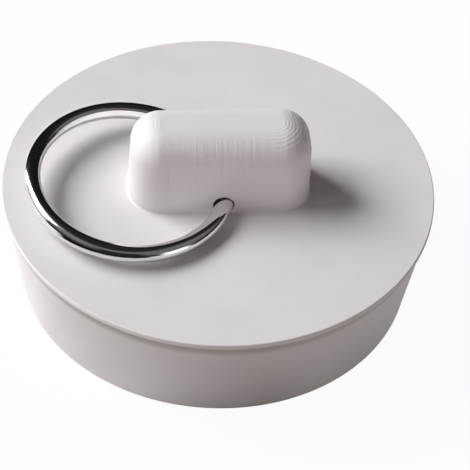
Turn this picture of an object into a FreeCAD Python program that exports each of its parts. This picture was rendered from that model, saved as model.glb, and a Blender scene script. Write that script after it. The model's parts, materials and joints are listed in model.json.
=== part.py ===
"""Rubber drain stopper with a wire pull ring, in millimetres.

A hollow, tapered rubber plug closes a drain. A lug stands on its top face, and a wire ring hangs in a
bore through the lug. The origin is the middle of the plug's base, +Z is up, the lug runs along X, and
the ring lies over the -X side of the top face.
"""
import FreeCAD
import Part
import math
import os

# Plug: a tapered side, which seats in the drain, under a thin lip
flange_diameter = 50.0
plug_height = 13.3
side_taper = 8.8
lip_thickness = 0.7
lip_overhang = 0.3
lip_round_share = 0.36
base_edge_round = 0.5

# Hollow underside of the plug
wall_thickness = 4.0
web_thickness = 5.0
recess_draft = 3.0
recess_corner_round = 2.0
recess_edge_round = 0.6

# Lug on the top face: the flats are what its round edges leave at each end and along the top
lug_length = 20.9
lug_width = 9.0
lug_height = 9.8
lug_draft = 1.5
lug_end_flat = 1.8
lug_top_flat = 1.9
lug_base_round = 0.25

# Ring, bent from one wire and closed by a butt joint
ring_outer_diameter = 24.4
wire_diameter = 2.0
butt_gap = 0.15
butt_angle = 45.0

# Ring at rest: its far side raised, rolled a little, and just clear of the top face
ring_lift = 4.0
ring_roll = 3.0
ring_rest_gap = 0.1

# Bore through the lug, a little askew as the wire runs, and wider in the middle so that the bent wire can
# turn in it
bore_offset = -0.21
bore_skew = 6.3
bore_clearance = 0.09

# The bore's cutter runs past the lug by this much, and an edge this close to a level lies in it
overrun = 0.5
level_tolerance = 0.01

ORIGIN = FreeCAD.Vector(0, 0, 0)
X_AXIS = FreeCAD.Vector(1, 0, 0)
Y_AXIS = FreeCAD.Vector(0, 1, 0)
Z_AXIS = FreeCAD.Vector(0, 0, 1)

flange_radius = flange_diameter / 2
wire_radius = wire_diameter / 2
ring_radius = ring_outer_diameter / 2 - wire_radius
lift = math.radians(ring_lift)
roll = math.radians(ring_roll)
skew = math.radians(bore_skew)

# The bore runs along the ring's chord between the lug's two sides, so the wire's middle line crosses its
# axis at both mouths
chord_run = math.cos(roll) * math.cos(skew) + math.sin(roll) * math.sin(lift) * math.sin(skew)
bore_mouth = lug_width / 2 / chord_run
ring_reach = math.sqrt(ring_radius ** 2 - bore_mouth ** 2)

# The tilted ring dips below its bore at one side, so the bore stands that much higher over the top face
ring_slope = math.hypot(math.sin(lift), math.sin(roll) * math.cos(lift))
ring_dip = ring_radius * ring_slope - ring_reach * math.sin(lift)
bore_height = wire_radius + ring_dip + ring_rest_gap
bore_centre = FreeCAD.Vector(bore_offset, 0, plug_height + bore_height)


def rounded_profile(corners):
    """Closed wire in the XZ plane through (x, z, radius) corners, with a tangent arc at each rounded one."""
    points = [FreeCAD.Vector(x, 0, z) for x, z, radius in corners]
    starts = []
    ends = []
    arcs = []
    for index, (x, z, radius) in enumerate(corners):
        point = points[index]
        before = (points[index - 1] - point).normalize()
        after = (points[(index + 1) % len(points)] - point).normalize()
        half_angle = before.getAngle(after) / 2
        tangent = radius / math.tan(half_angle)
        starts.append(point + before * tangent)
        ends.append(point + after * tangent)
        arc = None
        if radius > 0:
            inward = (before + after).normalize()
            middle = point + inward * (radius / math.sin(half_angle) - radius)
            arc = Part.Arc(starts[index], middle, ends[index]).toShape()
        arcs.append(arc)
    edges = []
    for index, arc in enumerate(arcs):
        edges.append(Part.LineSegment(ends[index - 1], starts[index]).toShape())
        if arc:
            edges.append(arc)
    return Part.Wire(edges)


def lug_outline(rise):
    """Plan outline of the drafted lug, this far above the top face: a rectangle with round corners."""
    inset = rise * math.tan(math.radians(lug_draft))
    half_length = lug_length / 2 - inset
    half_width = lug_width / 2 - inset
    radius = half_width - lug_end_flat / 2
    arcs = []
    for quarter, (side_x, side_y) in enumerate([(1, 1), (-1, 1), (-1, -1), (1, -1)]):
        centre_x = side_x * (half_length - radius)
        centre_y = side_y * (half_width - radius)
        circle = Part.Circle(FreeCAD.Vector(centre_x, centre_y, plug_height + rise), Z_AXIS, radius)
        start = quarter * math.pi / 2
        arcs.append(Part.ArcOfCircle(circle, start, start + math.pi / 2))
    edges = []
    for index, arc in enumerate(arcs):
        edges.append(Part.LineSegment(arcs[index - 1].EndPoint, arc.StartPoint).toShape())
        edges.append(arc.toShape())
    return Part.Wire(edges)


def edges_on_level(shape, height):
    """Edges that lie wholly in the level plane at this height."""
    flat = []
    for edge in shape.Edges:
        box = edge.BoundBox
        if abs(box.ZMin - height) < level_tolerance and abs(box.ZMax - height) < level_tolerance:
            flat.append(edge)
    return flat


def plug():
    """Turned plug: tapered side, thin lip, flat top face and hollow underside."""
    lip_bottom = plug_height - lip_thickness
    lip_round = lip_round_share * lip_thickness
    shoulder_radius = flange_radius - lip_overhang
    base_radius = shoulder_radius - lip_bottom * math.tan(math.radians(side_taper))
    recess_top = plug_height - web_thickness
    recess_mouth_radius = base_radius - wall_thickness
    recess_top_radius = recess_mouth_radius - recess_top * math.tan(math.radians(recess_draft))
    section = rounded_profile([
        (recess_mouth_radius, 0, recess_edge_round),
        (base_radius, 0, base_edge_round),
        (shoulder_radius, lip_bottom, 0),
        (flange_radius, lip_bottom, lip_round),
        (flange_radius, plug_height, lip_round),
        (0, plug_height, 0),
        (0, recess_top, 0),
        (recess_top_radius, recess_top, recess_corner_round),
    ])
    return Part.Face(section).revolve(ORIGIN, Z_AXIS, 360)


def lug():
    """Drafted lug with a full, rounded top, rooted halfway down the plug's web."""
    block = Part.makeLoft([lug_outline(-web_thickness / 2), lug_outline(lug_height)], True, True)
    top_width = lug_width - 2 * lug_height * math.tan(math.radians(lug_draft))
    top_round = (top_width - lug_top_flat) / 2
    return block.makeFillet(top_round, edges_on_level(block, plug_height + lug_height))


def laid_in_bore(shape):
    """Turn a shape made along the axes to the way that the ring lies, and move it to the bore."""
    shape.rotate(ORIGIN, X_AXIS, ring_roll)
    shape.rotate(ORIGIN, Y_AXIS, ring_lift)
    shape.rotate(ORIGIN, Z_AXIS, bore_skew)
    shape.translate(bore_centre)
    return shape


def bore_radius(station):
    """Room that the turning wire needs around the bore's axis, this far along it from the middle."""
    off_axis = abs(math.sqrt(ring_radius ** 2 - station ** 2) - ring_reach)
    slant = math.asin(station / ring_radius)
    return off_axis + wire_radius / math.cos(slant) + bore_clearance


def bore():
    """Barrel-shaped bore whose mouths flare through the lug's base fillet but stay off the top face."""
    end = bore_mouth + lug_base_round + overrun
    front_axis = FreeCAD.Vector(0, -end, 0)
    front_end = FreeCAD.Vector(bore_radius(end), -end, 0)
    front_mouth = FreeCAD.Vector(bore_radius(bore_mouth), -bore_mouth, 0)
    middle = FreeCAD.Vector(bore_radius(0), 0, 0)
    back_mouth = FreeCAD.Vector(bore_radius(bore_mouth), bore_mouth, 0)
    back_end = FreeCAD.Vector(bore_radius(end), end, 0)
    back_axis = FreeCAD.Vector(0, end, 0)
    section = Part.Wire([
        Part.LineSegment(front_axis, front_end).toShape(),
        Part.LineSegment(front_end, front_mouth).toShape(),
        Part.Arc(front_mouth, middle, back_mouth).toShape(),
        Part.LineSegment(back_mouth, back_end).toShape(),
        Part.LineSegment(back_end, back_axis).toShape(),
        Part.LineSegment(back_axis, front_axis).toShape(),
    ])
    tool = laid_in_bore(Part.Face(section).revolve(ORIGIN, Y_AXIS, 360))
    corner = FreeCAD.Vector(-flange_radius, -flange_radius, plug_height)
    over_top_face = Part.makeBox(flange_diameter, flange_diameter, lug_height, corner)
    under_lug = Part.Face(lug_outline(0)).extrude(FreeCAD.Vector(0, 0, -web_thickness))
    return tool.common(over_top_face.fuse(under_lug))


def stopper_body():
    """The whole rubber moulding: plug and lug in one piece, with the bore for the ring."""
    body = plug().fuse(lug()).removeSplitter()
    foot_edges = [edge for edge in edges_on_level(body, plug_height) if edge.Length < lug_length]
    return body.makeFillet(lug_base_round, foot_edges).cut(bore())


def pull_ring():
    """Wire ring with its butt joint, lying at rest in the bore."""
    gap_turn = math.degrees(butt_gap / ring_radius)
    section = Part.Wire(Part.Circle(FreeCAD.Vector(ring_radius, 0, 0), Y_AXIS, wire_radius).toShape())
    ring = Part.Face(section).revolve(ORIGIN, Z_AXIS, 360 - gap_turn)
    ring.rotate(ORIGIN, Z_AXIS, butt_angle + gap_turn / 2)
    ring.translate(FreeCAD.Vector(-ring_reach, 0, 0))
    return laid_in_bore(ring)


def main():
    """Write one STEP file for each piece."""
    os.makedirs("parts", exist_ok=True)
    pieces = {"stopper_body": stopper_body(), "pull_ring": pull_ring()}
    for name, shape in pieces.items():
        shape.exportStep("parts/" + name + ".step")
        print(name, "solids", len(shape.Solids), "valid", shape.isValid(), "volume", round(shape.Volume, 2))


main()
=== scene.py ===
"""Rubber drain stopper with a chrome pull ring, dressed for pictures.

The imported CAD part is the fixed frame. The rubber moulding and the wire ring are modelled in its place with
Blender's own tools, get procedural finishes, and stand in a small white studio at the photograph's angle.
Lengths are in metres and angles in radians, in the CAD part's frame: the lug runs along X, the ring lies
over the -X side, and the origin is the middle of the plug's base.
"""
import json
import math

import bmesh
import bpy
from bpy.props import FloatProperty, FloatVectorProperty, PointerProperty
from bpy.types import Operator, Panel, PropertyGroup
from mathutils import Matrix, Vector


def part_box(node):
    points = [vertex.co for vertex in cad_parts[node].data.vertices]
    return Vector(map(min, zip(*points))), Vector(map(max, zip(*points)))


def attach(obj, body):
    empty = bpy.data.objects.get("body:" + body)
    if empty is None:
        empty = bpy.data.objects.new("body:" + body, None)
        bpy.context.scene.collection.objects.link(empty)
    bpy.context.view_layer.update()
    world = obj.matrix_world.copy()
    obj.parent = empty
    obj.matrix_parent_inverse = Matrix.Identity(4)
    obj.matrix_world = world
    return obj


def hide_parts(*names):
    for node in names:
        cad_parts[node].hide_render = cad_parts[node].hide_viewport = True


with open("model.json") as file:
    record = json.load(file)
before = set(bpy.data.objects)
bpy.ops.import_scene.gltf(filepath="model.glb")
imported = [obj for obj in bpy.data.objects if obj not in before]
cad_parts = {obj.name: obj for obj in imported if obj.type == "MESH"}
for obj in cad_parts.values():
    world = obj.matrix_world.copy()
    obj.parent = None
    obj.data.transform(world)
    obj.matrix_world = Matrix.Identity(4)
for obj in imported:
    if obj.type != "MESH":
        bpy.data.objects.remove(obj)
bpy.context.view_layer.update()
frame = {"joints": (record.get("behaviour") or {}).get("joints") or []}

bl_info = {
    "name": "Drain Stopper",
    "version": (1, 0, 0),
    "blender": (4, 5, 0),
    "location": "View3D > Sidebar > Drain Stopper",
    "description": "Models a rubber drain stopper with a chrome pull ring, and its studio",
    "category": "Add Mesh",
}

# What the frame gives: the moulding's box, and the middle of the bore that the ring swings in
BODY_LOW, BODY_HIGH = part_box("stopper_body")
BORE_CENTRE = Vector(frame["joints"][0]["pos_m"])

# Mesh density, and how near a level counts as on it
CORNER_STEPS = 24
LONG_SIDE_CUTS = 70
SHORT_SIDE_CUTS = 2
TOP_ROUND_STEPS = 14
FOOT_STEPS = 6
ROUND_STEPS = 6
FACE_RINGS = 8
BORE_SIDES = 64
BORE_STEPS = 14
WIRE_SIDES = 48
WIRE_STEPS = 300
FLOOR_SIDES = 96
LEVEL = 1e-6

# Shading: edges sharper than this stay sharp, faces whose normal rises less than this count as steep, and
# large flat faces weigh this much in the normals
SMOOTH_ANGLE = math.radians(38)
STEEP_NORMAL = 0.5
FLAT_FACE_WEIGHT = 90

# Sockets of a Mix node that blends colours, whose names its other kinds of blend share
MIX_FACTOR = 0
MIX_FIRST = 6
MIX_SECOND = 7
MIX_RESULT = 2

# The finishes are written in millimetres. Relief of the rubber: its skin, the tool marks on the lug, which
# are deeper where it starts to round and at its ends, and the turned side
MM = 1000.0
GRAIN_DEPTH = 0.010
PEBBLE_DEPTH = 0.014
LINE_DEPTH = 0.010
ROUND_LINE_DEPTH = 0.050
CUT_PITCH = 0.2
CUT_DEPTH = 0.015
END_CUT_DEPTH = 0.085
TURNED_DEPTH = 0.012

# Relief of the chrome: lines from drawing the wire, pits, deeper in the hazy patches, and slow waves
DRAWN_DEPTH = 0.0022
PIT_DEPTH = 0.0007
HAZE_PIT_DEPTH = 0.0022
WAVE_DEPTH = 0.0016

# Floor, in metres: how far it lies under the base, so that the two flat faces don't flicker, and where its
# far part begins. Then the level directions of its dark part and its light part, and its own colour
FLOOR_DROP = 0.00003
FAR_FLOOR_START = 0.055
FAR_FLOOR_END = 0.095
DARK_FLOOR_WAY = (-0.42, -0.906)
LIT_FLOOR_WAY = (-0.82, -0.57)
FLOOR_PAPER = (0.95, 0.95, 0.95)

# Lamps whose reflections show, and the camera's sensor in millimetres and clipping in metres
MIRRORED_LAMPS = ("key_lamp", "back_lamp")
SENSOR_WIDTH = 36.0
CLIP_START = 0.01
CLIP_END = 20.0


def length(name, description, default):
    """A length that a user may change, in metres."""
    return FloatProperty(name=name, description=description, default=default, min=0, precision=5,
                         subtype="DISTANCE", unit="LENGTH")


def turn(name, description, default_degrees):
    """An angle that a user may change, given in degrees and kept in radians."""
    return FloatProperty(name=name, description=description, default=math.radians(default_degrees),
                         subtype="ANGLE", unit="ROTATION")


def share(name, description, default):
    """A plain number from 0 to 1."""
    return FloatProperty(name=name, description=description, default=default, min=0, max=1, subtype="FACTOR")


def power(name, description, default):
    """A lamp's power, in watts."""
    return FloatProperty(name=name, description=description, default=default, min=0, subtype="POWER",
                         unit="POWER")


def colour(name, description, default):
    """A linear colour."""
    return FloatVectorProperty(name=name, description=description, default=default, size=3, min=0, max=1,
                               subtype="COLOR")


class PlugSizes(PropertyGroup):
    """Sizes of the turned plug and its hollow underside."""
    flange_diameter: length("Flange diameter", "Across the lip", 2 * min(BODY_HIGH.x, -BODY_LOW.x))
    height: length("Height", "From the base to the top face", 0.0133)
    side_taper: turn("Side taper", "Slope of the side that seats in the drain", 8.8)
    lip_thickness: length("Lip thickness", "Height of the thin lip", 0.0007)
    lip_overhang: length("Lip overhang", "How far the lip stands past the side", 0.0003)
    lip_round: length("Lip round", "Radius of the lip's edges", 0.00014)
    lip_crease: length("Lip crease", "Radius in the corner under the lip", 0.00012)
    base_edge_round: length("Base edge round", "Radius of the base's outer edge", 0.0005)
    wall: length("Wall", "Wall of the hollow underside at its mouth", 0.004)
    web: length("Web", "Rubber between the recess and the top face", 0.005)
    recess_draft: turn("Recess draft", "Slope of the recess's wall", 3.0)
    recess_corner_round: length("Recess corner round", "Radius at the recess's roof", 0.002)
    recess_edge_round: length("Recess edge round", "Radius at the recess's mouth", 0.0006)


class LugSizes(PropertyGroup):
    """Sizes of the lug on the top face."""
    length: length("Length", "Along the top face", 0.0209)
    width: length("Width", "Across, the way the bore runs", 0.0090)
    height: length("Height", "Above the top face", 0.0098)
    draft: turn("Draft", "Slope of its sides", 1.5)
    end_flat: length("End flat", "What the round corners leave flat at each end", 0.0018)
    top_flat: length("Top flat", "Width that the round edges leave flat on top", 0.0019)
    foot_round: length("Foot round", "Radius where it meets the top face", 0.00025)


class RingSizes(PropertyGroup):
    """Sizes of the wire ring and how it lies at rest."""
    outer_diameter: length("Outer diameter", "Across the ring", 0.0244)
    wire_diameter: length("Wire diameter", "Gauge of the wire", 0.002)
    butt_gap: length("Butt gap", "Gap between the wire's two ends", 0.00015)
    butt_angle: turn("Butt angle", "Where round the ring the ends meet", 45.0)
    lift: turn("Lift", "How far its far side is raised at rest", 4.0)
    roll: turn("Roll", "Sideways tilt of the ring at rest and of the bore", 3.0)
    skew: turn("Skew", "Turn of the bore from square across the lug", 6.3)
    bore_clearance: length("Bore clearance", "Room around the turning wire", 0.00009)


class StopperFinish(PropertyGroup):
    """Colours and gloss of the two materials."""
    rubber: colour("Rubber", "White rubber", (0.83, 0.80, 0.806))
    rubber_shade: colour("Rubber shade", "Its slightly duller patches", (0.805, 0.775, 0.780))
    # The specks are real dirt; this colour also paints shade in the lug's foot and in the band under the lip
    rubber_specks_and_shade: colour("Rubber specks and shade", "Specks, and painted shade at the lug's foot and under the lip", (0.50, 0.47, 0.45))
    rubber_roughness: share("Rubber roughness", "Satin of the moulded skin", 0.52)
    chrome: colour("Chrome", "Plated wire", (0.86, 0.86, 0.865))
    chrome_haze: colour("Chrome haze", "Duller patches of the plating", (0.70, 0.69, 0.69))
    chrome_roughness: share("Chrome roughness", "Polish of the plating", 0.07)


class StudioSettings(PropertyGroup):
    """Camera, lamps and floor."""
    floor: colour("Floor", "Table close by, as it throws light back", (0.25, 0.235, 0.225))
    lit_floor: colour("Lit floor", "Table at the front left, as it throws light back", (0.64, 0.632, 0.625))
    far_floor: colour("Far floor", "Table further off, as it throws light back", (0.86, 0.77, 0.73))
    floor_white: share("Floor white", "How far the floor shows as plain white", 0.95)
    floor_radius: length("Floor radius", "Reach of the table", 2.5)
    key_power: power("Key power", "Large soft lamp at the left", 39.6)
    key_width: length("Key width", "Across the soft lamp", 1.26)
    key_height: length("Key height", "Up the soft lamp", 0.95)
    key_distance: length("Key distance", "From each lamp to the stopper", 2.0)
    key_elevation: turn("Key elevation", "Soft lamp above the table", 40.5)
    key_azimuth: turn("Key azimuth", "Soft lamp turned from the -X side towards the back", 20.0)
    strip_power: power("Strip power", "Low upright lamp in front of the soft one", 4.8)
    strip_width: length("Strip width", "Across the upright lamp", 0.40)
    strip_height: length("Strip height", "Up the upright lamp", 0.90)
    strip_elevation: turn("Strip elevation", "Upright lamp above the table", 14.0)
    strip_azimuth: turn("Strip azimuth", "Upright lamp turned from the -X side towards the back", -26.0)
    back_power: power("Back power", "Tall upright lamp behind the soft one", 6.0)
    back_width: length("Back width", "Across the tall lamp", 0.36)
    back_height: length("Back height", "Up the tall lamp", 1.40)
    back_elevation: turn("Back elevation", "Tall lamp above the table", 24.0)
    back_azimuth: turn("Back azimuth", "Tall lamp turned from the -X side towards the back", 39.0)
    fill_power: power("Fill power", "Wide weak lamp low in front", 2.6)
    fill_width: length("Fill width", "Across the weak lamp", 2.4)
    fill_height: length("Fill height", "Up the weak lamp", 0.5)
    fill_elevation: turn("Fill elevation", "Weak lamp above the table", 9.0)
    fill_azimuth: turn("Fill azimuth", "Weak lamp turned from the -X side towards the back", -92.0)
    fill_tint: colour("Fill tint", "Colour of the weak lamp", (1.0, 0.84, 0.77))
    glow: colour("Glow", "Lit wall around the lamps", (1.0, 1.0, 1.0))
    glow_light: FloatProperty(name="Glow light", description="Strength of the lit wall", default=0.55, min=0)
    ceiling: colour("Ceiling", "Dim ceiling above the camera", (0.160, 0.150, 0.144))
    far_ceiling: colour("Far ceiling", "Dimmer ceiling towards the back", (0.020, 0.019, 0.019))
    # Also paints shade on the table in front, which only reflections see
    dark: colour("Dark", "Unlit room behind, and painted shade on the table in front, seen in reflections", (0.010, 0.009, 0.009))
    room: colour("Room", "Grey wall in front, at the left", (0.20, 0.19, 0.185))
    screen: colour("Screen", "Dark screen behind the camera", (0.022, 0.018, 0.018))
    pane: colour("Pane", "Bright pane low in front, at the right", (1.0, 0.96, 0.94))
    pane_light: FloatProperty(name="Pane light", description="Strength of the pane", default=1.5, min=0)
    camera_distance: length("Camera distance", "From the middle of the top face", 0.31197)
    camera_elevation: turn("Camera elevation", "Above the table", 44.623)
    camera_azimuth: turn("Camera azimuth", "Turned from the -Y side", -6.5)
    camera_pan: turn("Camera pan", "Aim to the right of the middle", 0.415)
    camera_tilt: turn("Camera tilt", "Aim above the middle", -1.042)
    camera_roll: turn("Camera roll", "Turn about its own axis", 3.555)
    focal_length: FloatProperty(name="Focal length", description="Lens, in millimetres on a 36 mm sensor",
                                default=206.81, min=1, subtype="DISTANCE_CAMERA", unit="CAMERA")


class StopperSettings(PropertyGroup):
    """All the settings of the stopper."""
    plug: PointerProperty(type=PlugSizes, name="Plug", description="Turned plug")
    lug: PointerProperty(type=LugSizes, name="Lug", description="Lug on the top face")
    ring: PointerProperty(type=RingSizes, name="Ring", description="Wire ring")
    finish: PointerProperty(type=StopperFinish, name="Finish", description="Materials")
    studio: PointerProperty(type=StudioSettings, name="Studio", description="Camera, lamps and floor")


class Socket:
    """An output of a node. Sums on it add Math nodes to its graph."""

    def __init__(self, graph, link):
        self.graph = graph
        self.link = link

    def other(self, output):
        """Another output of the same node."""
        return Socket(self.graph, self.link.node.outputs[output])

    def math(self, operation, *values):
        """Result of a Math node on these values."""
        return self.graph.node("ShaderNodeMath", {"operation": operation}, values)

    def __add__(self, value):
        return self.math("ADD", self, value)

    def __radd__(self, value):
        return self.math("ADD", value, self)

    def __sub__(self, value):
        return self.math("SUBTRACT", self, value)

    def __rsub__(self, value):
        return self.math("SUBTRACT", value, self)

    def __mul__(self, value):
        return self.math("MULTIPLY", self, value)

    def __rmul__(self, value):
        return self.math("MULTIPLY", value, self)

    def __truediv__(self, value):
        return self.math("DIVIDE", self, value)

    def __rtruediv__(self, value):
        return self.math("DIVIDE", value, self)

    def __pow__(self, value):
        return self.math("POWER", self, value)

    def __abs__(self):
        return self.math("ABSOLUTE", self)

    def above(self, floor):
        """The larger of this and a value."""
        return self.math("MAXIMUM", self, floor)

    def below(self, ceiling):
        """The smaller of this and a value."""
        return self.math("MINIMUM", self, ceiling)

    def step(self, start, end):
        """Smooth rise from 0 at start to 1 at end."""
        values = {"Value": self, "From Min": start, "From Max": end}
        return self.graph.node("ShaderNodeMapRange", {"interpolation_type": "SMOOTHSTEP"}, values)


class Graph:
    """The nodes of one material or world."""

    def __init__(self, owner):
        owner.use_nodes = True
        self.owner = owner
        self.tree = owner.node_tree
        self.tree.nodes.clear()

    def node(self, kind, settings, values, output=0):
        """Add a node, set it up, feed its sockets with values or links, and return one of its outputs."""
        node = self.tree.nodes.new(kind)
        for key, value in settings.items():
            setattr(node, key, value)
        pairs = values.items() if isinstance(values, dict) else enumerate(values)
        for key, value in pairs:
            if isinstance(value, Socket):
                self.tree.links.new(value.link, node.inputs[key])
            else:
                node.inputs[key].default_value = value
        return Socket(self, node.outputs[output] if len(node.outputs) else None)

    def noise(self, vector, scale, detail=2.0, rough=0.5):
        """Soft noise from 0 to 1."""
        values = {"Vector": vector, "Scale": scale, "Detail": detail, "Roughness": rough}
        return self.node("ShaderNodeTexNoise", {"noise_dimensions": "3D"}, values)

    def blend(self, factor, first, second):
        """One colour going over into another."""
        values = {MIX_FACTOR: factor, MIX_FIRST: first, MIX_SECOND: second}
        return self.node("ShaderNodeMix", {"data_type": "RGBA"}, values, output=MIX_RESULT)

    def bump(self, height):
        """Normal of a surface that stands up by this height, in millimetres."""
        values = {"Strength": 1.0, "Distance": 1 / MM, "Height": height}
        return self.node("ShaderNodeBump", {}, values, output="Normal")


def rgba(shade):
    """A colour as a socket takes it."""
    return (shade[0], shade[1], shade[2], 1.0)


def outline_distance(x, y, half_x, half_y, radius):
    """Distance of a place from a rectangle with round corners, in plan, below 0 inside."""
    over_x = abs(x) - (half_x - radius)
    over_y = abs(y) - (half_y - radius)
    outside_x = over_x.above(0.0)
    outside_y = over_y.above(0.0)
    outside = (outside_x * outside_x + outside_y * outside_y) ** 0.5
    inside = over_x.above(over_y).below(0.0)
    return outside + inside - radius


def rubber_finish(settings):
    """White moulded rubber: satin grain, faint patches, specks, and the tool marks of the mould."""
    finish, plug, lug = settings.finish, settings.plug, settings.lug
    graph = Graph(bpy.data.materials.new("white_rubber"))
    place = graph.node("ShaderNodeTexCoord", {}, {}, output="Object")
    spot = graph.node("ShaderNodeVectorMath", {"operation": "SCALE"}, {0: place, "Scale": MM})
    x = graph.node("ShaderNodeSeparateXYZ", {}, [spot])
    y = x.other("Y")
    z = x.other("Z")
    top = plug.height * MM
    lug_half_length = lug.length * MM / 2
    lug_half_width = lug.width * MM / 2

    grain = graph.noise(spot, 5.0, 2.0)
    pebble = graph.noise(spot, 1.3, 2.0)
    patches = graph.noise(spot, 0.16, 3.0)
    specks = graph.noise(spot, 2.6, 1.0).step(0.735, 0.79)

    # The mould's tool marks: fine upright lines on the lug, and the outlines of its last cuts round the top
    on_lug = z.step(top + 0.7, top + 1.6)
    upright = graph.node("ShaderNodeCombineXYZ", {}, [x * 2.3, y * 0.06, z * 0.06])
    lines = graph.noise(upright, 1.0, 3.0, 0.65)
    low_round = z.step(top + 4.6, top + 6.4) * (1.0 - z.step(top + 9.3, top + 9.75))
    rim = outline_distance(x, y, lug_half_length - 3.55, lug_half_width - 3.55, 0.9)
    on_top = z.step(top + 6.4, top + 7.6)
    ends = abs(x).step(lug_half_length - 5.4, lug_half_length - 4.0)
    cuts = graph.node("ShaderNodeMath", {"operation": "PINGPONG"}, [rim + 4.0, CUT_PITCH])
    near_rim = rim.step(-0.35, 0.0) * (1.0 - rim.step(2.5, 3.2))

    # The side was turned in the mould: faint rings that run round it
    radius = (x * x + y * y) ** 0.5
    on_side = (1.0 - z.step(top - 0.9, top - 0.6)) * radius.step(20.0, 21.5)
    turned = graph.node("ShaderNodeCombineXYZ", {}, [x * 0.05, y * 0.05, z * 3.0])
    rings = graph.noise(turned, 1.0, 2.0)

    height = (grain - 0.5) * GRAIN_DEPTH + (pebble - 0.5) * PEBBLE_DEPTH
    height = height + (lines - 0.5) * on_lug * (LINE_DEPTH + low_round * ROUND_LINE_DEPTH)
    height = height + cuts * near_rim * on_top * (CUT_DEPTH + ends * END_CUT_DEPTH)
    height = height + (rings - 0.5) * on_side * TURNED_DEPTH

    # Painted shade: the crease at the lug's foot and the band under the lip are darkened, as shade falls
    # there
    foot = outline_distance(x, y, lug_half_length + 0.3, lug_half_width + 0.3, lug_half_width - 0.15)
    foot_height = (1.0 - z.step(top + 0.3, top + 1.2)) * z.step(top - 0.4, top - 0.1)
    painted_foot_shade = (1.0 - abs(foot).step(0.1, 1.1)) * foot_height
    lip_height = z.step(top - 2.5, top - 1.4) * (1.0 - z.step(top - 0.72, top - 0.64))
    painted_lip_shade = lip_height * radius.step(22.0, 22.6)
    # Specks are real dirt; the foot and lip terms are painted shade
    specks_and_painted_shade = specks * 0.16 + painted_foot_shade * 0.10 * patches + painted_lip_shade * 0.75

    base = graph.blend(patches.step(0.38, 0.72), rgba(finish.rubber), rgba(finish.rubber_shade))
    base = graph.blend(specks_and_painted_shade, base, rgba(finish.rubber_specks_and_shade))
    rough = finish.rubber_roughness + (pebble - 0.5) * 0.10 + (patches - 0.5) * 0.12
    shader = graph.node("ShaderNodeBsdfPrincipled", {}, {
        "Base Color": base,
        "Roughness": rough,
        "Specular IOR Level": 0.35,
        "Normal": graph.bump(height),
    })
    graph.node("ShaderNodeOutputMaterial", {}, {"Surface": shader})
    return graph.owner


def chrome_finish(settings, placing):
    """Bright plated wire: drawn lines along it, fine pits, and hazier patches."""
    finish, ring = settings.finish, settings.ring
    graph = Graph(bpy.data.materials.new("chrome_wire"))
    place = graph.node("ShaderNodeTexCoord", {}, {}, output="Object")
    back = placing.inverted()
    flat = graph.node("ShaderNodeMapping", {"vector_type": "POINT"}, {
        "Vector": place,
        "Location": back.translation,
        "Rotation": back.to_euler("XYZ"),
    })
    spot = graph.node("ShaderNodeVectorMath", {"operation": "SCALE"}, {0: flat, "Scale": MM})
    x = graph.node("ShaderNodeSeparateXYZ", {}, [spot])
    y = x.other("Y")
    z = x.other("Z")
    ring_radius = middle_line(ring) * MM

    # Round the ring from the butt joint, and out from the wire's middle line
    around = graph.node("ShaderNodeMath", {"operation": "ARCTAN2"}, [y * -1.0, x * -1.0]) * ring_radius
    out = (x * x + y * y) ** 0.5 - ring_radius
    drawn_spot = graph.node("ShaderNodeCombineXYZ", {}, [around * 0.10, out * 7.0, z * 7.0])
    drawn = graph.noise(drawn_spot, 1.0, 3.0, 0.6)
    pits = graph.noise(spot, 7.0, 2.0, 0.6)
    waves = graph.noise(spot, 1.1, 2.0)
    patches = graph.noise(spot, 0.45, 2.0).step(0.42, 0.68)

    pitting = (pits - 0.5) * (PIT_DEPTH + patches * HAZE_PIT_DEPTH)
    height = (drawn - 0.5) * DRAWN_DEPTH + pitting + (waves - 0.5) * WAVE_DEPTH
    base = graph.blend(patches * 0.35, rgba(finish.chrome), rgba(finish.chrome_haze))
    rough = finish.chrome_roughness + patches * 0.05 + (drawn - 0.5) * 0.05
    shader = graph.node("ShaderNodeBsdfPrincipled", {}, {
        "Base Color": base,
        "Metallic": 1.0,
        "Roughness": rough,
        "Normal": graph.bump(height),
    })
    graph.node("ShaderNodeOutputMaterial", {}, {"Surface": shader})
    return graph.owner


def clear_selection():
    """Leave edit mode and select nothing, so that the next tool acts on its own piece alone."""
    if bpy.context.mode != "OBJECT":
        bpy.ops.object.mode_set(mode="OBJECT")
    bpy.ops.object.select_all(action="DESELECT")


def select_edges(test):
    """In edit mode, select only the edges that pass the test."""
    bpy.ops.mesh.select_mode(type="EDGE")
    bpy.ops.mesh.select_all(action="DESELECT")
    mesh = bmesh.from_edit_mesh(bpy.context.edit_object.data)
    found = [edge for edge in mesh.edges if test(edge)]
    if not found:
        raise RuntimeError("no edge lies where one is to be shaped")
    for edge in found:
        edge.select_set(True)
    bmesh.update_edit_mesh(bpy.context.edit_object.data)


def on_level(edge, height):
    """Whether an edge lies in the level plane at this height."""
    return all(abs(vertex.co.z - height) < LEVEL for vertex in edge.verts)


def is_open(edge):
    """Whether an edge bounds the mesh."""
    return len(edge.link_faces) < 2


def steepness(edge):
    """For each face at an edge, whether it is a steep one."""
    return [abs(face.normal.z) < STEEP_NORMAL for face in edge.link_faces]


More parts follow.
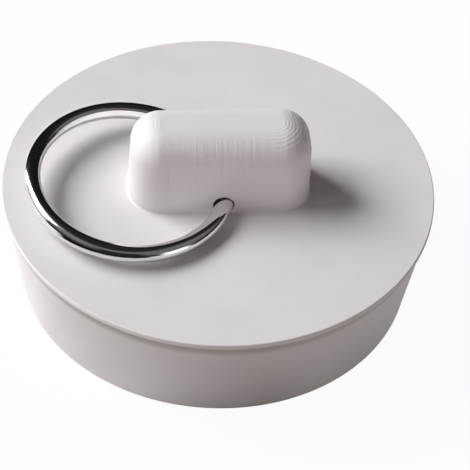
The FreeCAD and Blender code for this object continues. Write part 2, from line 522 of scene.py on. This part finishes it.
def rounded_stations(corners):
    """Stations along a profile of (radius, height, round) corners, with an arc at each rounded one."""
    points = [Vector((radius, height)) for radius, height, size in corners]
    stations = [points[0]]
    for index in range(1, len(corners) - 1):
        point = points[index]
        size = corners[index][2]
        before = (points[index - 1] - point).normalized()
        after = (points[index + 1] - point).normalized()
        half_angle = before.angle(after) / 2
        inward = (before + after).normalized()
        centre = point + inward * (size / math.sin(half_angle))
        start = point + before * (size / math.tan(half_angle)) - centre
        sweep = math.pi - 2 * half_angle
        turning = 1 if before.x * after.y - before.y * after.x < 0 else -1
        for step in range(ROUND_STEPS + 1):
            angle = turning * sweep * step / ROUND_STEPS
            stations.append(centre + Matrix.Rotation(angle, 2) @ start)
    stations.append(points[-1])
    return stations


def turn_profile(stations):
    """Carry the selected round edge through (radius, height) stations, as on a lathe."""
    for here, there in zip(stations, stations[1:]):
        bpy.ops.mesh.extrude_edges_move(TRANSFORM_OT_translate={"value": (0, 0, there.y - here.y)})
        ratio = there.x / here.x
        bpy.ops.transform.resize(value=(ratio, ratio, 1), center_override=(0, 0, 0))


def raise_lug(lug, top):
    """Lug from its plan: a rectangle with round corners, drafted up and rounded along its top."""
    bpy.ops.mesh.primitive_plane_add(size=1)
    bpy.ops.object.mode_set(mode="EDIT")
    bpy.ops.transform.resize(value=(lug.length, lug.width, 1), center_override=(0, 0, 0))
    bpy.ops.transform.translate(value=(0, 0, top))
    corner = (lug.width - lug.end_flat) / 2
    bpy.ops.mesh.bevel(affect="VERTICES", offset=corner, segments=CORNER_STEPS, clamp_overlap=False)
    long_side = lug.length - 2 * corner
    select_edges(lambda edge: edge.calc_length() > (long_side + lug.end_flat) / 2)
    bpy.ops.mesh.subdivide(number_cuts=LONG_SIDE_CUTS)
    select_edges(lambda edge: abs(edge.calc_length() - lug.end_flat) < LEVEL)
    bpy.ops.mesh.subdivide(number_cuts=SHORT_SIDE_CUTS)
    bpy.ops.mesh.select_all(action="SELECT")
    bpy.ops.mesh.dissolve_faces()
    bpy.ops.mesh.select_all(action="SELECT")
    inset = lug.height * math.tan(lug.draft)
    bpy.ops.mesh.inset(thickness=inset, depth=lug.height)
    select_edges(lambda edge: on_level(edge, top + lug.height))
    top_round = (lug.width - 2 * inset - lug.top_flat) / 2
    bpy.ops.mesh.bevel(offset=top_round, segments=TOP_ROUND_STEPS, clamp_overlap=False)


def spread_top_face(plug, lug):
    """Flat top face between the lug's foot and the lip, with the foot's fillet."""
    top = plug.height
    rim = plug.flange_diameter / 2 - plug.lip_round
    select_edges(is_open)
    bpy.ops.mesh.extrude_edges_move()
    bpy.ops.transform.tosphere(value=1, center_override=(0, 0, top))
    mesh = bmesh.from_edit_mesh(bpy.context.edit_object.data)
    reach = max(edge.verts[0].co.xy.length for edge in mesh.edges if is_open(edge))
    bpy.ops.transform.resize(value=(rim / reach, rim / reach, 1), center_override=(0, 0, top))
    select_edges(lambda edge: on_level(edge, top) and not is_open(edge) and not any(steepness(edge)))
    bpy.ops.mesh.subdivide(number_cuts=FACE_RINGS)
    select_edges(lambda edge: on_level(edge, top) and any(steepness(edge)))
    bpy.ops.mesh.bevel(offset=lug.foot_round, segments=FOOT_STEPS, clamp_overlap=False)


def turn_plug(plug):
    """Lip, tapered side, base and hollow underside, turned from the rim of the top face."""
    flange = plug.flange_diameter / 2
    lip_bottom = plug.height - plug.lip_thickness
    shoulder = flange - plug.lip_overhang
    base = shoulder - lip_bottom * math.tan(plug.side_taper)
    roof = plug.height - plug.web
    mouth = base - plug.wall
    recess = mouth - roof * math.tan(plug.recess_draft)
    stations = rounded_stations([
        (flange / 2, plug.height, 0),
        (flange, plug.height, plug.lip_round),
        (flange, lip_bottom, plug.lip_round),
        (shoulder, lip_bottom, plug.lip_crease),
        (base, 0, plug.base_edge_round),
        (mouth, 0, plug.recess_edge_round),
        (recess, roof, plug.recess_corner_round),
        (recess / 6, roof, 0),
    ])
    select_edges(is_open)
    turn_profile(stations[1:])
    bpy.ops.mesh.edge_face_add()


def bore_placing(ring):
    """Where things along the axes go to lie as the ring does in the bore: rolled, lifted and turned."""
    placing = Matrix.Translation(BORE_CENTRE)
    placing = placing @ Matrix.Rotation(ring.skew, 4, "Z")
    placing = placing @ Matrix.Rotation(ring.lift, 4, "Y")
    return placing @ Matrix.Rotation(ring.roll, 4, "X")


def middle_line(ring):
    """Radius of the ring's wire at its middle."""
    return (ring.outer_diameter - ring.wire_diameter) / 2


def bore_mouth(lug, ring):
    """Distance along the bore from its middle to the lug's side."""
    along = bore_placing(ring).to_3x3() @ Vector((0, 1, 0))
    return lug.width / 2 / along.y


def ring_reach(lug, ring):
    """Distance from the ring's middle to the bore: the wire crosses the bore's axis at both mouths."""
    return math.sqrt(middle_line(ring) ** 2 - bore_mouth(lug, ring) ** 2)


def bore_radius(lug, ring, station):
    """Room that the turning wire needs around the bore's axis, this far along it from the middle."""
    off_axis = abs(math.sqrt(middle_line(ring) ** 2 - station ** 2) - ring_reach(lug, ring))
    slant = math.asin(station / middle_line(ring))
    return off_axis + ring.wire_diameter / 2 / math.cos(slant) + ring.bore_clearance


def bore_cutter(plug, lug, ring):
    """Barrel that cuts the bore: widest in the middle, flared outside the lug but off the top face."""
    mouth = bore_mouth(lug, ring)
    end = mouth + 3 * lug.foot_round
    places = [-mouth + 2 * mouth * step / BORE_STEPS for step in range(BORE_STEPS + 1)]
    places = [-end] + places + [end]
    sizes = [bore_radius(lug, ring, abs(place)) for place in places]
    bpy.ops.mesh.primitive_circle_add(vertices=BORE_SIDES, radius=sizes[0], rotation=(math.pi / 2, 0, 0))
    cutter = bpy.context.object
    bpy.ops.object.transform_apply(location=True, rotation=True, scale=True)
    bpy.ops.object.mode_set(mode="EDIT")
    bpy.ops.mesh.select_all(action="SELECT")
    bpy.ops.transform.translate(value=(0, places[0], 0))
    bpy.ops.mesh.select_mode(type="EDGE")
    for index in range(1, len(places)):
        stride = places[index] - places[index - 1]
        bpy.ops.mesh.extrude_edges_move(TRANSFORM_OT_translate={"value": (0, stride, 0)})
        ratio = sizes[index] / sizes[index - 1]
        bpy.ops.transform.resize(value=(ratio, 1, ratio), center_override=(0, 0, 0))
    bpy.ops.mesh.edge_face_add()
    select_edges(is_open)
    bpy.ops.mesh.edge_face_add()
    bpy.ops.mesh.select_all(action="SELECT")
    bpy.ops.mesh.normals_make_consistent(inside=False)
    bpy.ops.object.mode_set(mode="OBJECT")
    cutter.matrix_world = bore_placing(ring)
    bpy.ops.object.transform_apply(location=True, rotation=True, scale=True)
    bpy.ops.object.mode_set(mode="EDIT")
    bpy.ops.mesh.select_mode(type="VERT")
    bpy.ops.mesh.select_all(action="DESELECT")
    mesh = bmesh.from_edit_mesh(cutter.data)
    for vertex in mesh.verts:
        outside = abs(vertex.co.y) > lug.width / 2 + lug.foot_round / 2
        vertex.select_set(outside and vertex.co.z < plug.height)
    bmesh.update_edit_mesh(cutter.data)
    bpy.ops.transform.resize(value=(1, 1, 0), center_override=(0, 0, plug.height + LEVEL))
    bpy.ops.object.mode_set(mode="OBJECT")
    return cutter


def drill_bore(body, cutter):
    """Cut the bore with the barrel, which is then thrown away."""
    clear_selection()
    cut = body.modifiers.new("bore", "BOOLEAN")
    cut.operation = "DIFFERENCE"
    cut.solver = "EXACT"
    cut.object = cutter
    body.select_set(True)
    bpy.context.view_layer.objects.active = body
    bpy.ops.object.modifier_apply(modifier=cut.name)
    bpy.data.objects.remove(cutter)


def finish_shading(piece):
    """Smooth shading that keeps true edges and the flat faces flat."""
    clear_selection()
    piece.select_set(True)
    bpy.context.view_layer.objects.active = piece
    bpy.ops.object.shade_smooth_by_angle(angle=SMOOTH_ANGLE)
    weighting = piece.modifiers.new("flat_faces", "WEIGHTED_NORMAL")
    weighting.mode = "FACE_AREA"
    weighting.weight = FLAT_FACE_WEIGHT
    weighting.keep_sharp = True
    bpy.ops.object.modifier_apply(modifier=weighting.name)


def ring_placing(lug, ring):
    """Where the flat ring goes: out from the bore, with the wire's ends where they meet."""
    gap_turn = ring.butt_gap / middle_line(ring)
    placing = bore_placing(ring) @ Matrix.Translation((-ring_reach(lug, ring), 0, 0))
    return placing @ Matrix.Rotation(ring.butt_angle + gap_turn / 2, 4, "Z")


class STOPPER_OT_rubber_body(Operator):
    """Model the rubber moulding: plug, lip, hollow underside and lug in one piece, with its bore"""
    bl_idname = "drain_stopper.rubber_body"
    bl_label = "Rubber Body"

    def execute(self, context):
        settings = context.scene.drain_stopper
        plug, lug = settings.plug, settings.lug
        clear_selection()
        raise_lug(lug, plug.height)
        body = context.object
        body.name = "rubber_stopper"
        spread_top_face(plug, lug)
        turn_plug(plug)
        bpy.ops.mesh.select_all(action="SELECT")
        bpy.ops.mesh.remove_doubles(threshold=LEVEL)
        bpy.ops.mesh.normals_make_consistent(inside=False)
        clear_selection()
        drill_bore(body, bore_cutter(plug, lug, settings.ring))
        finish_shading(body)
        body.data.materials.clear()
        body.data.materials.append(rubber_finish(settings))
        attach(body, "plug")
        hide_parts("stopper_body")
        return {"FINISHED"}


class STOPPER_OT_pull_ring(Operator):
    """Model the chrome pull ring: one bent wire with its butt joint, lying in the bore"""
    bl_idname = "drain_stopper.pull_ring"
    bl_label = "Pull Ring"

    def execute(self, context):
        settings = context.scene.drain_stopper
        ring = settings.ring
        gap_turn = ring.butt_gap / middle_line(ring)
        clear_selection()
        bpy.ops.mesh.primitive_circle_add(vertices=WIRE_SIDES, radius=ring.wire_diameter / 2,
                                          location=(middle_line(ring), 0, 0), rotation=(math.pi / 2, 0, 0))
        piece = context.object
        piece.name = "chrome_ring"
        bpy.ops.object.transform_apply(location=True, rotation=True, scale=True)
        bpy.ops.object.mode_set(mode="EDIT")
        bpy.ops.mesh.select_all(action="SELECT")
        bpy.ops.mesh.spin(steps=WIRE_STEPS, angle=2 * math.pi - gap_turn, center=(0, 0, 0), axis=(0, 0, 1))
        bpy.ops.mesh.select_all(action="SELECT")
        bpy.ops.mesh.remove_doubles(threshold=LEVEL)
        select_edges(is_open)
        bpy.ops.mesh.edge_face_add()
        bpy.ops.mesh.select_all(action="SELECT")
        bpy.ops.mesh.normals_make_consistent(inside=False)
        clear_selection()
        piece.select_set(True)
        context.view_layer.objects.active = piece
        placing = ring_placing(settings.lug, ring)
        piece.matrix_world = placing
        bpy.ops.object.transform_apply(location=True, rotation=True, scale=True)
        finish_shading(piece)
        piece.data.materials.clear()
        piece.data.materials.append(chrome_finish(settings, placing))
        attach(piece, "ring")
        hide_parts("pull_ring")
        return {"FINISHED"}


def floor_finish(studio):
    """Pale table that shows as white to the camera and in reflections, save painted shade in front that
    reflections see, and keeps a soft shadow.
    """
    graph = Graph(bpy.data.materials.new("studio_floor"))
    path = graph.node("ShaderNodeLightPath", {}, {}, output="Is Camera Ray")
    mirrored = path.other("Is Glossy Ray").above(path.other("Is Transmission Ray"))
    seen = path.above(mirrored)
    place = graph.node("ShaderNodeTexCoord", {}, {}, output="Object")
    x = graph.node("ShaderNodeSeparateXYZ", {}, [place])
    y = x.other("Y")
    reach = (x * x + y * y) ** 0.5
    towards_dark = (x * DARK_FLOOR_WAY[0] + y * DARK_FLOOR_WAY[1]) / reach
    towards_light = (x * LIT_FLOOR_WAY[0] + y * LIT_FLOOR_WAY[1]) / reach
    # Painted shade: reflections see the table in front in the dark colour
    in_front = towards_dark.step(0.62, 0.80) * mirrored
    at_left = towards_light.step(0.55, 0.95)
    shade = graph.blend(at_left, rgba(studio.floor), rgba(studio.lit_floor))
    shade = graph.blend(reach.step(FAR_FLOOR_START, FAR_FLOOR_END), shade, rgba(studio.far_floor))
    shade = graph.blend(seen, shade, rgba(FLOOR_PAPER))
    shade = graph.blend(in_front, shade, rgba(studio.dark))
    paper = graph.node("ShaderNodeBsdfDiffuse", {}, {"Color": shade})
    white = graph.node("ShaderNodeEmission", {}, {"Color": (1.0, 1.0, 1.0, 1.0), "Strength": 1.0})
    whiteness = seen * (1.0 - in_front) * studio.floor_white
    shown = graph.node("ShaderNodeMixShader", {}, [whiteness, paper, white])
    graph.node("ShaderNodeOutputMaterial", {}, {"Surface": shown})
    return graph.owner


def between(value, low, high, soft):
    """1 from low to high, with soft edges."""
    return value.step(low - soft, low + soft) * (1.0 - value.step(high - soft, high + soft))


def studio_world(studio):
    """Dim room around the table. Azimuth counts from the left, up to 90 at the back and -90 in front."""
    graph = Graph(bpy.data.worlds.new("studio_room"))
    way = graph.node("ShaderNodeTexCoord", {}, {}, output="Generated")
    x = graph.node("ShaderNodeSeparateXYZ", {}, [way])
    y = x.other("Y")
    degree = math.degrees(1)
    azimuth = graph.node("ShaderNodeMath", {"operation": "ARCTAN2"}, [y, x * -1.0]) * degree
    rise = graph.node("ShaderNodeMath", {"operation": "ARCSINE"}, [x.other("Z")]) * degree
    overhead = rise.step(44.0, 60.0)
    shade = graph.blend(overhead, rgba(studio.dark), rgba(studio.far_ceiling))
    in_front = (1.0 - between(azimuth, 20.0, 168.0, 12.0)) * rise.step(4.0, 40.0)
    shade = graph.blend(in_front * (1.0 - rise.step(58.0, 76.0)), shade, rgba(studio.ceiling))
    at_left = between(azimuth, -48.0, 50.0, 16.0) * rise.step(28.0, 42.0)
    shade = graph.blend(at_left * (1.0 - rise.step(54.0, 72.0)), shade, rgba(studio.room))
    screen = between(azimuth, -108.0, -62.0, 8.0) * (1.0 - rise.step(40.0, 50.0))
    shade = graph.blend(screen, shade, rgba(studio.screen))
    pane = between(azimuth, -148.0, -124.0, 6.0) * (1.0 - rise.step(16.0, 30.0))
    shade = graph.blend(pane, shade, rgba([part * studio.pane_light for part in studio.pane]))
    glow = between(azimuth, -6.0, 46.0, 2.0) * (1.0 - rise.step(54.0, 66.0))
    shade = graph.blend(glow, shade, rgba([part * studio.glow_light for part in studio.glow]))
    light = graph.node("ShaderNodeBackground", {}, {"Color": shade, "Strength": 1.0})
    graph.node("ShaderNodeOutputWorld", {}, {"Surface": light})
    return graph.owner


def aim(location, target):
    """Turn that points an object's -Z from one place to another."""
    return (target - location).to_track_quat("-Z", "Y").to_euler()


def camera_matrix(studio, target):
    """Camera at the photograph's angle: round the top face's middle, then panned, tilted and rolled."""
    rise, side = studio.camera_elevation, studio.camera_azimuth
    away = Vector((math.sin(side) * math.cos(rise), -math.cos(side) * math.cos(rise), math.sin(rise)))
    forward = -away
    right = forward.cross(Vector((0, 0, 1))).normalized()
    up = right.cross(forward)
    aside = right * math.tan(studio.camera_pan) + up * math.tan(studio.camera_tilt)
    forward = (forward + aside).normalized()
    right = forward.cross(up).normalized()
    up = right.cross(forward)
    cosine, sine = math.cos(studio.camera_roll), math.sin(studio.camera_roll)
    rolled_right = right * cosine + up * sine
    rolled_up = up * cosine - right * sine
    matrix = Matrix((rolled_right, rolled_up, -forward)).transposed().to_4x4()
    matrix.translation = target + away * studio.camera_distance
    return matrix


class STOPPER_OT_studio(Operator):
    """Set up the pale floor, the lamps, the dim room and the camera"""
    bl_idname = "drain_stopper.studio"
    bl_label = "Studio"

    def execute(self, context):
        settings = context.scene.drain_stopper
        studio = settings.studio
        scene = context.scene
        middle = Vector((0, 0, settings.plug.height))
        clear_selection()
        bpy.ops.mesh.primitive_circle_add(vertices=FLOOR_SIDES, radius=studio.floor_radius, fill_type="NGON")
        bpy.ops.object.mode_set(mode="EDIT")
        bpy.ops.transform.translate(value=(0, 0, -FLOOR_DROP))
        bpy.ops.object.mode_set(mode="OBJECT")
        floor = context.object
        floor.name = "studio_floor"
        floor.data.materials.append(floor_finish(studio))

        lamps = {
            "key_lamp": (studio.key_power, studio.key_width, studio.key_height,
                         studio.key_elevation, studio.key_azimuth),
            "strip_lamp": (studio.strip_power, studio.strip_width, studio.strip_height,
                           studio.strip_elevation, studio.strip_azimuth),
            "back_lamp": (studio.back_power, studio.back_width, studio.back_height,
                          studio.back_elevation, studio.back_azimuth),
            "fill_lamp": (studio.fill_power, studio.fill_width, studio.fill_height,
                          studio.fill_elevation, studio.fill_azimuth),
        }
        for name, (watts, width, height, rise, side) in lamps.items():
            level = Vector((-math.cos(side), math.sin(side), 0)) * math.cos(rise)
            place = middle + (level + Vector((0, 0, math.sin(rise)))) * studio.key_distance
            bpy.ops.object.light_add(type="AREA", location=place, rotation=aim(place, middle))
            lamp = context.object
            lamp.name = name
            lamp.data.shape = "RECTANGLE"
            lamp.data.size = width
            lamp.data.size_y = height
            lamp.data.energy = watts
            lamp.visible_glossy = name in MIRRORED_LAMPS
        bpy.data.objects["fill_lamp"].data.color = studio.fill_tint

        scene.world = studio_world(studio)
        bpy.ops.object.camera_add()
        camera = context.object
        camera.name = "photo_camera"
        camera.data.sensor_width = SENSOR_WIDTH
        camera.data.lens = studio.focal_length
        camera.data.clip_start = CLIP_START
        camera.data.clip_end = CLIP_END
        camera.matrix_world = camera_matrix(studio, middle)
        scene.camera = camera
        scene.view_settings.view_transform = "Standard"
        return {"FINISHED"}


class STOPPER_PT_panel(Panel):
    """Tools and sizes of the drain stopper"""
    bl_idname = "STOPPER_PT_panel"
    bl_label = "Drain Stopper"
    bl_space_type = "VIEW_3D"
    bl_region_type = "UI"
    bl_category = "Drain Stopper"

    def draw(self, context):
        settings = context.scene.drain_stopper
        for operator in (STOPPER_OT_rubber_body, STOPPER_OT_pull_ring, STOPPER_OT_studio):
            self.layout.operator(operator.bl_idname)
        for group in (settings.plug, settings.lug, settings.ring, settings.finish, settings.studio):
            box = self.layout.box()
            for name in group.__annotations__:
                box.prop(group, name)


CLASSES = (
    PlugSizes,
    LugSizes,
    RingSizes,
    StopperFinish,
    StudioSettings,
    StopperSettings,
    STOPPER_OT_rubber_body,
    STOPPER_OT_pull_ring,
    STOPPER_OT_studio,
    STOPPER_PT_panel,
)


def register():
    """Make the classes and the settings known to Blender."""
    for each in CLASSES:
        bpy.utils.register_class(each)
    bpy.types.Scene.drain_stopper = PointerProperty(type=StopperSettings)


def unregister():
    """Take the settings and the classes out again."""
    del bpy.types.Scene.drain_stopper
    for each in reversed(CLASSES):
        bpy.utils.unregister_class(each)


def main():
    """Model the pieces and set the stage."""
    register()
    bpy.ops.drain_stopper.rubber_body()
    bpy.ops.drain_stopper.pull_ring()
    bpy.ops.drain_stopper.studio()


if __name__ == "__main__":
    main()
